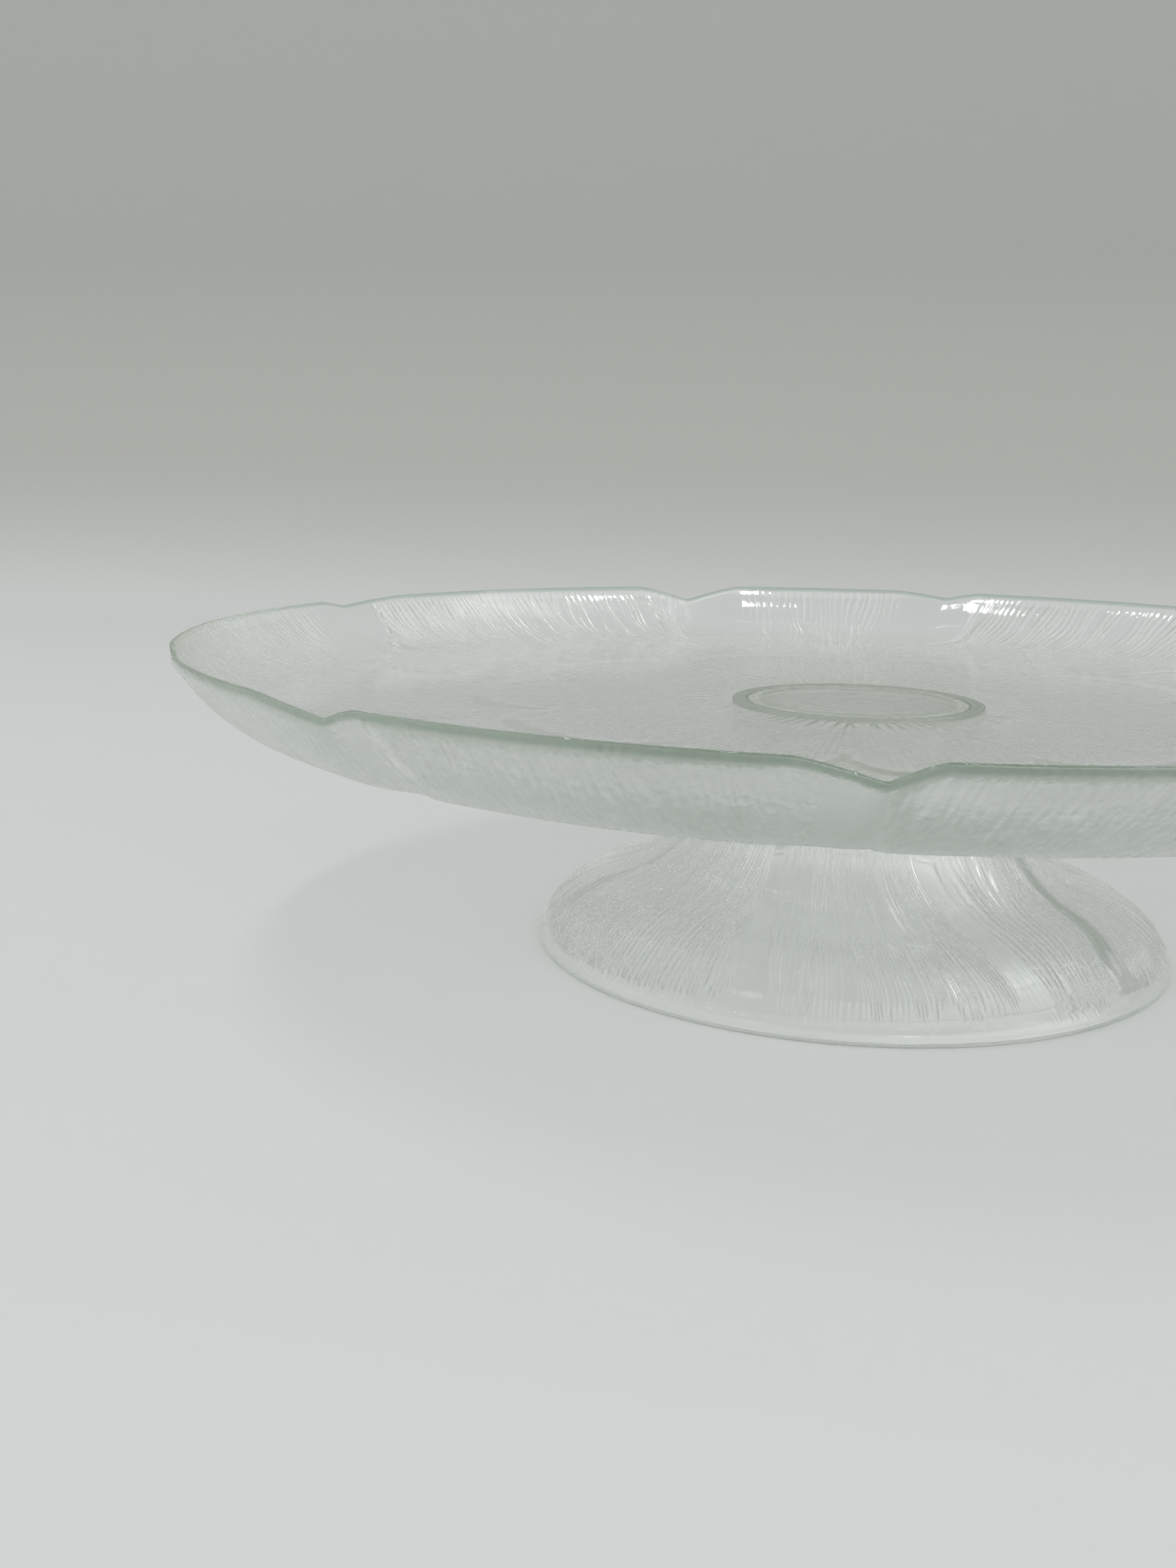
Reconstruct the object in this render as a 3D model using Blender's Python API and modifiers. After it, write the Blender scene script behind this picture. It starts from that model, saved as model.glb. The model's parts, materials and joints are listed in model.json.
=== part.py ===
"""Footed cake plate in clear pressed glass.

A plate with a petalled rim stands on a hollow pressed foot, and a ring of clear adhesive bonds the two.
Lengths are in metres, +Z is up, and the origin lies on the table under the centre of the foot.
Azimuths are in degrees, anticlockwise from +X as seen from above.
"""
import math

import bmesh
import bpy
from mathutils import Vector
from mathutils.geometry import interpolate_bezier

# Plate
PLATE_RADIUS = 0.165  # centre to the outside of the rim
RIM_RISE = 0.0150  # floor to the crest of the rim
RIM_THICKNESS = 0.0042
FLOOR_THICKNESS = 0.0045
WALL_CURVE_RADIUS = 0.030  # bend from floor to wall, at mid-thickness
WALL_ANGLE = 50.0  # slope of the wall at the rim, degrees above the floor
WALL_CURVE_LIMIT = 0.95  # most of the wall's rise that the bend may take up

# Pressed foot
FOOT_HEIGHT = 0.0558  # table to the top of the seat ring
FOOT_RADIUS = 0.0783  # outside of the base
FOOT_WALL = 0.0052
FOOT_EDGE_RADIUS = 0.0016  # rounding of the ring that stands on the table
SHOULDER_WIDTH = 0.0213  # from the flare out to the base
SHOULDER_HEIGHT = 0.0177  # table to the flare
SHOULDER_SLOPE = 14.0  # fall of the flare, degrees below level
SHOULDER_FULLNESS = 0.78  # how far the flare runs on before it turns down, of the shoulder's width
NECK_RADIUS = 0.0315
NECK_FULLNESS = 0.55  # how far the neck runs straight down before it flares, of the neck's height
FLARE_FULLNESS = 0.50  # how far the flare runs in towards the neck, of the distance between them
NECK_EDGE_RADIUS = 0.0006
SEAT_RING_WIDTH = 0.0049  # raised ring on the crown, which takes the adhesive
SEAT_RING_RISE = 0.0012
CROWN_THICKNESS = 0.0060  # glass that closes the top of the hollow
HOLLOW_CORNER_RADIUS = 0.0080

# Bond between the foot and the plate
BOND_THICKNESS = 0.0005
BOND_INSET = 0.0006  # from each edge of the seat ring
BOND_GAP = 0.0003  # clearance above and below the adhesive

# Rim notches: azimuth, width on the clockwise side, width on the anticlockwise side, depth
RIM_NOTCHES = (
    (40.8, 6.5, 4.0, 0.0030),
    (79.9, 3.8, 6.0, 0.0020),
    (111.7, 6.5, 6.0, 0.0046),
    (159.6, 9.0, 3.2, 0.0016),
    (205.0, 4.0, 6.0, 0.0026),
    (236.7, 8.0, 3.4, 0.0028),
    (271.8, 5.0, 3.0, 0.0036),
    (317.8, 4.0, 7.0, 0.0030),
    (353.8, 6.0, 4.0, 0.0034),
)
NOTCH_PULL = 0.0012  # how far a notch folds the rim inwards
NOTCH_SHARPNESS = 1.3  # 1 is a straight-sided notch, more is a pointed one

# Petal relief on the underside and the outer wall of the plate
PETAL_RELIEF = 0.0006  # height of the pressed petals above the plain glass
PETAL_BLEND = 0.0110  # width of the slope at a petal's end
OUTER_PETAL_START = 0.105  # radius where the outer petals rise from the floor
OUTER_BAND_HALF_ANGLE = 2.2  # plain band between two outer petals
BAND_BLEND_ANGLE = 3.0
INNER_PETAL_EDGES = (13.0, 52.0, 88.0, 128.0, 166.0, 206.0, 242.5, 268.5, 297.0, 336.0)
INNER_PETAL_REACH = 0.092  # radius at the middle of an inner petal's rounded end
INNER_PETAL_ROUNDING = 0.016  # how much shorter the petal is at its edges
PLAIN_CENTRE_MARGIN = 0.004  # plain glass around the foot's neck
PETAL_END_POWER = 4  # squareness of the petals' rounded ends

# Petal relief on the foot: azimuth of each plain band at the base, and its lean towards the neck
FOOT_BANDS = (
    (12.0, 5.0),
    (60.0, -8.0),
    (106.0, 6.0),
    (153.0, -6.0),
    (199.0, 8.0),
    (251.0, 0.0),
    (301.0, -14.0),
    (324.0, 7.0),
)
FOOT_RELIEF = 0.0006
FOOT_BAND_HALF_ANGLE_BASE = 4.5
FOOT_BAND_HALF_ANGLE_NECK = 1.5
FOOT_BORDER_HEIGHT = 0.0035  # plain border between the table and the petals
FOOT_PETAL_ROUNDING = 0.0060  # how much higher a petal ends at its edges
FOOT_RELIEF_BLEND = 0.0035

# Facets
PLATE_STEPS = 144
FOOT_STEPS = 96
BOND_STEPS = 64
WALL_CURVE_STEPS = 5
UNDERSIDE_RINGS = 7
FOOT_CURVE_STEPS = 8
ROUND_STEPS = 4
EDGE_STEPS = 2
MERGE_DISTANCE = 0.00001
SHARP_ANGLE = 40.0

# Colour, roughness and refractive index
GLASS = ((0.86, 0.93, 0.89, 1.0), 0.05, 1.52)
ADHESIVE = ((0.93, 0.94, 0.92, 1.0), 0.12, 1.49)

# Heights that follow from the stack of foot, adhesive and plate
BOND_BASE = FOOT_HEIGHT + BOND_GAP
PLATE_BASE = BOND_BASE + BOND_THICKNESS + BOND_GAP
SEAT_RING_INNER = NECK_RADIUS - SEAT_RING_WIDTH

# Wall of the plate at mid-thickness, with z from the underside of the floor
WALL_SLOPE = math.radians(WALL_ANGLE)
MID_FLOOR = FLOOR_THICKNESS / 2
MID_RIM = FLOOR_THICKNESS + RIM_RISE - RIM_THICKNESS / 2
MID_RISE = MID_RIM - MID_FLOOR
WALL_CURVE = min(WALL_CURVE_RADIUS, WALL_CURVE_LIMIT * MID_RISE / (1 - math.cos(WALL_SLOPE)))
WALL_STRAIGHT = (MID_RISE - WALL_CURVE * (1 - math.cos(WALL_SLOPE))) / math.sin(WALL_SLOPE)
WALL_RUN = WALL_CURVE * math.sin(WALL_SLOPE) + WALL_STRAIGHT * math.cos(WALL_SLOPE)
FLOOR_EDGE = PLATE_RADIUS - RIM_THICKNESS / 2 - WALL_RUN


def ease(value):
    """Rise smoothly from 0 to 1 as the value goes from 0 to 1."""
    value = min(max(value, 0.0), 1.0)
    return value * value * (3 - 2 * value)


def turn_from(reference, azimuth):
    """Signed turn from one azimuth to another, from -180 to 180 degrees."""
    return (azimuth - reference + 180) % 360 - 180


def petal_share(edges, azimuth):
    """Place across the petal that holds the azimuth: -1 at one edge, 0 in the middle, 1 at the other."""
    before = min((azimuth - edge) % 360 for edge in edges)
    after = min((edge - azimuth) % 360 for edge in edges)
    return (before - after) / (before + after) if before + after else -1.0


def round_corner(centre, radius, start, end, steps):
    """Points on an arc between two angles in degrees, with both ends."""
    angles = [math.radians(start + (end - start) * i / steps) for i in range(steps + 1)]
    return [centre + radius * Vector((math.cos(a), math.sin(a))) for a in angles]


def wall_tilt(radius):
    """Slope of the plate's wall at a radius, in radians."""
    return math.asin(min(max((radius - FLOOR_EDGE) / WALL_CURVE, 0.0), math.sin(WALL_SLOPE)))


def plate_profile():
    """Half section of the plate, over the top and back along the underside, with each point's relief."""
    middle = []
    for i in range(WALL_CURVE_STEPS + 1):
        tilt = WALL_SLOPE * i / WALL_CURVE_STEPS
        bend = Vector((math.sin(tilt), 1 - math.cos(tilt))) * WALL_CURVE
        middle.append((Vector((FLOOR_EDGE, MID_FLOOR)) + bend, tilt))
    rim = Vector((PLATE_RADIUS - RIM_THICKNESS / 2, MID_RIM))
    middle.append((rim, WALL_SLOPE))

    inside, outside = [], []
    for i, (point, tilt) in enumerate(middle):
        share = i / (len(middle) - 1)
        half = (FLOOR_THICKNESS * (1 - share) + RIM_THICKNESS * share) / 2
        across = Vector((math.sin(tilt), -math.cos(tilt))) * half
        inside.append((point - across, 0.0))
        outside.append((point + across, 1.0 if point is not rim else 0.0))
    edge = round_corner(rim, RIM_THICKNESS / 2, WALL_ANGLE + 90, WALL_ANGLE - 90, ROUND_STEPS)[1:-1]

    seat = NECK_RADIUS + PLAIN_CENTRE_MARGIN
    rings = [FLOOR_EDGE + (seat - FLOOR_EDGE) * i / UNDERSIDE_RINGS for i in range(1, UNDERSIDE_RINGS + 1)]
    underside = [(Vector((radius, 0)), 1.0) for radius in rings]
    top = [(Vector((0, FLOOR_THICKNESS)), 0.0)]
    return top + inside + [(p, 0.0) for p in edge] + outside[::-1] + underside + [(Vector((0, 0)), 0.0)]


def foot_outside():
    """Outer curve of the foot, from under the seat ring down to the edge of the base."""
    slope = math.radians(SHOULDER_SLOPE)
    fall = Vector((math.cos(slope), -math.sin(slope)))
    neck = Vector((NECK_RADIUS, FOOT_HEIGHT - NECK_EDGE_RADIUS))
    flare = Vector((FOOT_RADIUS - SHOULDER_WIDTH, SHOULDER_HEIGHT))
    base = Vector((FOOT_RADIUS, FOOT_EDGE_RADIUS))
    straight = Vector((0, flare.y - neck.y)) * NECK_FULLNESS
    run_in = fall * (flare.x - neck.x) * FLARE_FULLNESS
    run_out = fall * SHOULDER_WIDTH * SHOULDER_FULLNESS
    turn_down = Vector((0, flare.y - base.y)) * (1 - SHOULDER_FULLNESS)
    upper = interpolate_bezier(neck, neck + straight, flare - run_in, flare, FOOT_CURVE_STEPS)
    lower = interpolate_bezier(flare, flare + run_out, base + turn_down, base, FOOT_CURVE_STEPS)
    return upper + lower[1:]


def foot_inside(outside):
    """Wall of the hollow, one wall thickness inside the outer curve, from its crown down to the table."""
    crown = FOOT_HEIGHT - SEAT_RING_RISE - CROWN_THICKNESS
    corner_height = crown - HOLLOW_CORNER_RADIUS
    last = len(outside) - 1
    wall = []
    for i in range(last):
        along = (outside[i + 1] - outside[max(i - 1, 0)]).normalized()
        wall.append(outside[i] + Vector((along.y, -along.x)) * FOOT_WALL)
    wall.append(outside[last] - Vector((FOOT_WALL, 0)))
    first = next(i for i, point in enumerate(wall) if point.y < corner_height)
    above, below = wall[first - 1], wall[first]
    neck = above.lerp(below, (above.y - corner_height) / (above.y - below.y))
    corner = Vector((neck.x - HOLLOW_CORNER_RADIUS, corner_height))
    crown_curve = round_corner(corner, HOLLOW_CORNER_RADIUS, 90, 0, ROUND_STEPS)
    return [Vector((0, crown))] + crown_curve + wall[last:first:-2][::-1]


def foot_profile():
    """Half section of the foot, over the crown, down the outside and up the hollow, with its relief."""
    crown_top = FOOT_HEIGHT - SEAT_RING_RISE
    neck_corner = Vector((NECK_RADIUS - NECK_EDGE_RADIUS, FOOT_HEIGHT - NECK_EDGE_RADIUS))
    outside = foot_outside()
    inside = foot_inside(outside)
    outer_edge = Vector((FOOT_RADIUS - FOOT_EDGE_RADIUS, FOOT_EDGE_RADIUS))
    inner_edge = Vector((FOOT_RADIUS - FOOT_WALL + FOOT_EDGE_RADIUS, FOOT_EDGE_RADIUS))

    crown = [Vector((0, crown_top)), Vector((SEAT_RING_INNER, crown_top))]
    crown.append(Vector((SEAT_RING_INNER, FOOT_HEIGHT)))
    crown += round_corner(neck_corner, NECK_EDGE_RADIUS, 90, 0, EDGE_STEPS)[:-1]
    base = round_corner(outer_edge, FOOT_EDGE_RADIUS, 0, -90, EDGE_STEPS)[1:]
    base += round_corner(inner_edge, FOOT_EDGE_RADIUS, -90, -180, EDGE_STEPS)[:-1]
    plain = [(point, 0.0) for point in base + inside[::-1]]
    return [(point, 0.0) for point in crown] + [(point, 1.0) for point in outside] + plain


def turned(name, profile, steps, closed=False):
    """Profile curve at +X with a Screw modifier; each point keeps how far it takes the pressed relief."""
    edges = [(i, i + 1) for i in range(len(profile) - 1)]
    if closed:
        edges.append((len(profile) - 1, 0))
    mesh = bpy.data.meshes.new(name)
    mesh.from_pydata([(point.x, 0, point.y) for point, pressed in profile], edges, [])
    relief = mesh.attributes.new("pressed", "FLOAT", "POINT")
    relief.data.foreach_set("value", [pressed for point, pressed in profile])
    turned_object = bpy.data.objects.new(name, mesh)
    parts.objects.link(turned_object)
    screw = turned_object.modifiers.new("Turn", "SCREW")
    screw.steps = screw.render_steps = round(steps)
    screw.use_merge_vertices = True
    screw.merge_threshold = MERGE_DISTANCE
    screw.use_smooth_shade = True
    return turned_object


def press(turned_object, shape):
    """Replace a turned profile by its mesh, and move each point in radius and height as the mould does."""
    depsgraph = bpy.context.evaluated_depsgraph_get()
    mesh = bpy.data.meshes.new_from_object(turned_object.evaluated_get(depsgraph))
    turned_object.modifiers.clear()
    turned_object.data = mesh
    body = bmesh.new()
    body.from_mesh(mesh)
    bmesh.ops.remove_doubles(body, verts=body.verts, dist=MERGE_DISTANCE)
    pressed = body.verts.layers.float["pressed"]
    for vert in body.verts:
        radius = vert.co.xy.length
        azimuth = math.degrees(math.atan2(vert.co.y, vert.co.x)) % 360
        moved, height = shape(radius, vert.co.z, azimuth, vert[pressed])
        if radius > MERGE_DISTANCE:
            vert.co.xy *= moved / radius
        vert.co.z = height
    body.verts.layers.float.remove(pressed)
    body.to_mesh(mesh)
    body.free()
    mesh.shade_smooth()
    mesh.set_sharp_from_angle(angle=math.radians(SHARP_ANGLE))


def notch_fold(azimuth):
    """Depth of the rim's fold at an azimuth, and its strength from 0 to 1."""
    deepest = (0.0, 0.0)
    for centre, clockwise, anticlockwise, depth in RIM_NOTCHES:
        turn = turn_from(centre, azimuth)
        share = abs(turn) / (anticlockwise if turn > 0 else clockwise)
        strength = max(1 - share, 0.0)**NOTCH_SHARPNESS
        deepest = max(deepest, (depth * strength, strength))
    return deepest


def plate_petals(radius, azimuth):
    """Height of the pressed petals on the underside of the plate, from 0 to 1."""
    band = min(abs(turn_from(notch[0], azimuth)) for notch in RIM_NOTCHES)
    outer = ease((band - OUTER_BAND_HALF_ANGLE) / BAND_BLEND_ANGLE)
    outer *= ease((radius - OUTER_PETAL_START) / PETAL_BLEND)
    across = petal_share(INNER_PETAL_EDGES, azimuth)
    end = INNER_PETAL_REACH - INNER_PETAL_ROUNDING * across**PETAL_END_POWER
    inner = ease((end - radius) / PETAL_BLEND)
    inner *= ease((radius - NECK_RADIUS - PLAIN_CENTRE_MARGIN) / PETAL_BLEND)
    return max(outer, inner)


def plate_shape(radius, height, azimuth, pressed):
    """Point of the plate after pressing: petals stand out below, notches dip and fold the rim in."""
    tilt = wall_tilt(radius)
    relief = PETAL_RELIEF * pressed * plate_petals(radius, azimuth)
    depth, strength = notch_fold(azimuth)
    up_wall = ease((radius - FLOOR_EDGE) / WALL_RUN)
    moved = radius + relief * math.sin(tilt) - NOTCH_PULL * strength * up_wall
    return moved, height - relief * math.cos(tilt) - depth * up_wall


def foot_petals(height, azimuth):
    """Height of the pressed petals on the outside of the foot, from 0 to 1."""
    up_foot = height / FOOT_HEIGHT
    edges = [azimuth_at_base + lean * ease(up_foot) for azimuth_at_base, lean in FOOT_BANDS]
    half = FOOT_BAND_HALF_ANGLE_BASE * (1 - up_foot) + FOOT_BAND_HALF_ANGLE_NECK * up_foot
    band = min(abs(turn_from(edge, azimuth)) for edge in edges)
    end = FOOT_BORDER_HEIGHT + FOOT_PETAL_ROUNDING * petal_share(edges, azimuth)**PETAL_END_POWER
    petal = ease((band - half) / BAND_BLEND_ANGLE) * ease((height - end) / FOOT_RELIEF_BLEND)
    return petal * ease((FOOT_HEIGHT - NECK_EDGE_RADIUS - height) / FOOT_RELIEF_BLEND)


def foot_shape(radius, height, azimuth, pressed):
    """Point of the foot after pressing: the petals stand out from the plain bands and border."""
    return radius + FOOT_RELIEF * pressed * foot_petals(height, azimuth), height


def clear_material(name, colour, roughness, index):
    """Clear material with a light tint."""
    material = bpy.data.materials.new(name)
    material.use_nodes = True
    shader = material.node_tree.nodes["Principled BSDF"]
    shader.inputs["Base Color"].default_value = colour
    shader.inputs["Roughness"].default_value = roughness
    shader.inputs["Metallic"].default_value = 0.0
    shader.inputs["Transmission Weight"].default_value = 1.0
    shader.inputs["IOR"].default_value = index
    return material


def place(part, parent, height, material):
    """Stand a part on the common axis at a height."""
    part.parent = parent
    part.location = (0, 0, height)
    part.data.materials.clear()
    part.data.materials.append(material)


for leftover in list(bpy.data.objects):
    bpy.data.objects.remove(leftover)
parts = bpy.data.collections.new("cake_plate")
bpy.context.scene.collection.children.link(parts)
axis = bpy.data.objects.new("table_centre", None)
parts.objects.link(axis)

foot = turned("pedestal_foot", foot_profile(), FOOT_STEPS)
press(foot, foot_shape)
place(foot, axis, 0, clear_material("foot_glass", *GLASS))

plate = turned("plate", plate_profile(), PLATE_STEPS)
press(plate, plate_shape)
place(plate, axis, PLATE_BASE, clear_material("plate_glass", *GLASS))

bond_inner = SEAT_RING_INNER + BOND_INSET
bond_outer = NECK_RADIUS - BOND_INSET
bond_section = [(bond_inner, BOND_THICKNESS), (bond_outer, BOND_THICKNESS), (bond_outer, 0), (bond_inner, 0)]
bond = turned("adhesive_ring", [(Vector(point), 0.0) for point in bond_section], BOND_STEPS, closed=True)
place(bond, axis, BOND_BASE, clear_material("clear_adhesive", *ADHESIVE))
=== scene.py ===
import json
import math

import bpy
import numpy as np
from mathutils import Matrix, Vector


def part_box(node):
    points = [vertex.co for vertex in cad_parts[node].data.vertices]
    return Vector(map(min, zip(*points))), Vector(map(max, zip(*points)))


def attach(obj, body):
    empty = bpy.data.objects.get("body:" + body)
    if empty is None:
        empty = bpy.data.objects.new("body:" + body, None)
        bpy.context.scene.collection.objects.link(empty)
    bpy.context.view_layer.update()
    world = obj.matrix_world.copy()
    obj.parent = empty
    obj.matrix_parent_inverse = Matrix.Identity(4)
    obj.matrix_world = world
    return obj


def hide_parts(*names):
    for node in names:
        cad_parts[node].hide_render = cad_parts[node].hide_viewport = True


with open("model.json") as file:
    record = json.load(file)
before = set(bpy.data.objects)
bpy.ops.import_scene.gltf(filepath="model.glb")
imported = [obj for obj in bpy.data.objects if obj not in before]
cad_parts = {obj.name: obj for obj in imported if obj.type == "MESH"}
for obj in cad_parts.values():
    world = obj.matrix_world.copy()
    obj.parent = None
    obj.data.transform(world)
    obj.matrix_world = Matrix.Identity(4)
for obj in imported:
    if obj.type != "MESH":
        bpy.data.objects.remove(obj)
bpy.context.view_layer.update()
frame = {"record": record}


def ease(value):
    value = np.clip(value, 0.0, 1.0)
    return value * value * (3 - 2 * value)


def turnFrom(reference, azimuth):
    return (azimuth - reference + 180) % 360 - 180


def aroundTurn(azimuth, places, values):
    # smooth value round the turn, from values at a few azimuths
    order = np.argsort(places)
    at = np.asarray(places, float)[order]
    value = np.asarray(values, float)[order]
    at = np.concatenate((at[-1:] - 360, at, at[:1] + 360))
    value = np.concatenate((value[-1:], value, value[:1]))
    slot = np.clip(np.searchsorted(at, azimuth % 360, side="right") - 1, 0, len(at) - 2)
    share = ease((azimuth % 360 - at[slot]) / (at[slot + 1] - at[slot]))
    return value[slot] * (1 - share) + value[slot + 1] * share


def petalShare(edges, azimuth):
    # place across the petal: -1 at one edge, 0 in the middle, 1 at the other
    before = np.min([(azimuth - edge) % 360 for edge in edges], axis=0)
    after = np.min([(edge - azimuth) % 360 for edge in edges], axis=0)
    return (before - after) / np.maximum(before + after, 1e-6)


def unevenRibs(sizes, draw):
    # for every column of points its azimuth, its place among the ribs and its nearest groove
    widths = 1 + sizes["ribUneven"] * draw.uniform(-1, 1, sizes["ribs"])
    shares = np.concatenate(([0.0], np.cumsum(widths))) / widths.sum()
    fine = np.linspace(0.0, 360.0, 4 * 360 + 1)  # every quarter of a degree
    crowd = np.cumsum(1 / aroundTurn(fine, *zip(*sizes["ribWidths"])))
    edges = np.interp(shares, (crowd - crowd[0]) / (crowd[-1] - crowd[0]), fine)
    steps = np.array(sizes["ribSteps"])
    turn = (edges[:-1, None] + np.diff(edges)[:, None] * steps).ravel()
    phase = (np.arange(sizes["ribs"])[:, None] + steps).ravel()
    return turn, phase, np.floor(phase + 0.5).astype(int) % sizes["ribs"]


# waves in a turn, and how they lean
ribDrift = {"slow": 19, "slowLean": 3, "quick": 47, "quickLean": 7}


def slowDrift(azimuth, along, shift):
    # sideways drift that neighbouring ribs share, from -1 to 1
    turn = np.radians(azimuth)
    slow = np.sin(ribDrift["slow"] * turn + shift + ribDrift["slowLean"] * along)
    quick = np.sin(ribDrift["quick"] * turn - shift + ribDrift["quickLean"] * along)
    return (slow + quick) / 2


# rings of points, stitched into one closed skin

class Ring:
    # the edge mark is the share of painted shade that the glass material tints darker and greenish
    def __init__(self, azimuth, radius, height,
                 phase=0.0, depth=0.0, sharp=1.0, wave=1.0, frost=0.0, edge=0.0):
        self.azimuth = np.asarray(azimuth, float)
        turn = np.radians(self.azimuth)
        one = np.ones_like(self.azimuth)
        self.points = np.column_stack((radius * np.cos(turn), radius * np.sin(turn), height * one))
        self.marks = np.column_stack([value * one for value in (phase, depth, sharp, wave, frost, edge)])


def evenTurn(count):
    return np.arange(count) * 360.0 / count


def zipFaces(first, second, startFirst, startSecond):
    # triangles between two rings of unlike counts, walked together by azimuth
    countFirst, countSecond = len(first), len(second)
    shift = int(np.argmin(np.abs(turnFrom(first[0], second))))
    rolled = (shift + np.arange(countSecond)) % countSecond
    walkFirst = np.append((first - first[0]) % 360, 360.0)
    begin = turnFrom(first[0], second[shift])
    walkSecond = begin + np.append((second[rolled] - second[shift]) % 360, 360.0)
    faces, i, j = [], 0, 0
    while i < countFirst or j < countSecond:
        a = startFirst + i % countFirst
        b = startSecond + rolled[j % countSecond]
        if j == countSecond or (i < countFirst and walkFirst[i + 1] <= walkSecond[j + 1]):
            faces.append((a, b, startFirst + (i + 1) % countFirst))
            i += 1
        else:
            faces.append((a, b, startSecond + rolled[(j + 1) % countSecond]))
            j += 1
    return faces


def stitch(name, rings):
    faces, start = [], 0
    for first, second in zip(rings, rings[1:]):
        countFirst, countSecond = len(first.azimuth), len(second.azimuth)
        after = start + countFirst
        if countFirst == countSecond:
            here = np.arange(countFirst)
            ahead = np.roll(here, -1)
            quads = np.column_stack((start + here, after + here, after + ahead, start + ahead))
            faces += quads.tolist()
        elif countFirst == 1:
            faces += [(start, after + k, after + (k + 1) % countSecond) for k in range(countSecond)]
        elif countSecond == 1:
            faces += [(start + k, after, start + (k + 1) % countFirst) for k in range(countFirst)]
        else:
            faces += zipFaces(first.azimuth, second.azimuth, start, after)
        start = after
    mesh = bpy.data.meshes.new(name)
    mesh.from_pydata(np.concatenate([ring.points for ring in rings]).tolist(), [], faces)
    marks = np.concatenate([ring.marks for ring in rings])
    for column, label in enumerate(("ribPhase", "ribDepth", "ribSharp", "waveShare", "frost", "edge")):
        layer = mesh.attributes.new(label, "FLOAT", "POINT")
        layer.data.foreach_set("value", marks[:, column].astype(np.float32))
    piece = bpy.data.objects.new(name, mesh)
    bpy.context.scene.collection.objects.link(piece)
    return piece


# helpers for node trees

def link(tree, source, target):
    tree.links.new(source, target)


def addNode(tree, kind, **settings):
    node = tree.nodes.new(kind)
    for label, value in settings.items():
        setattr(node, label, value)
    return node


def calc(tree, operation, first, second=None):
    node = addNode(tree, "ShaderNodeMath", operation=operation)
    for socket, value in zip(node.inputs, (first, second)):
        if isinstance(value, (int, float)):
            socket.default_value = value
        elif value is not None:
            link(tree, value, socket)
    return node.outputs[0]


def blendColours(tree, first, second, value, start, end):
    # first colour up to the start value, second from the end value on
    share = addNode(tree, "ShaderNodeMapRange", interpolation_type="SMOOTHSTEP")
    share.inputs["From Min"].default_value = start
    share.inputs["From Max"].default_value = end
    link(tree, value, share.inputs["Value"])
    mix = addNode(tree, "ShaderNodeMix", data_type="RGBA")
    link(tree, share.outputs[0], mix.inputs[0])
    colours = [socket for socket in mix.inputs if socket.type == "RGBA"]
    for socket, colour in zip(colours, (first, second)):
        if isinstance(colour, tuple):
            socket.default_value = (*colour, 1)
        else:
            link(tree, colour, socket)
    return next(socket for socket in mix.outputs if socket.type == "RGBA")


# Geometry Nodes: presses the ribs and the slow waves of fire-polished glass into a skin

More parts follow.
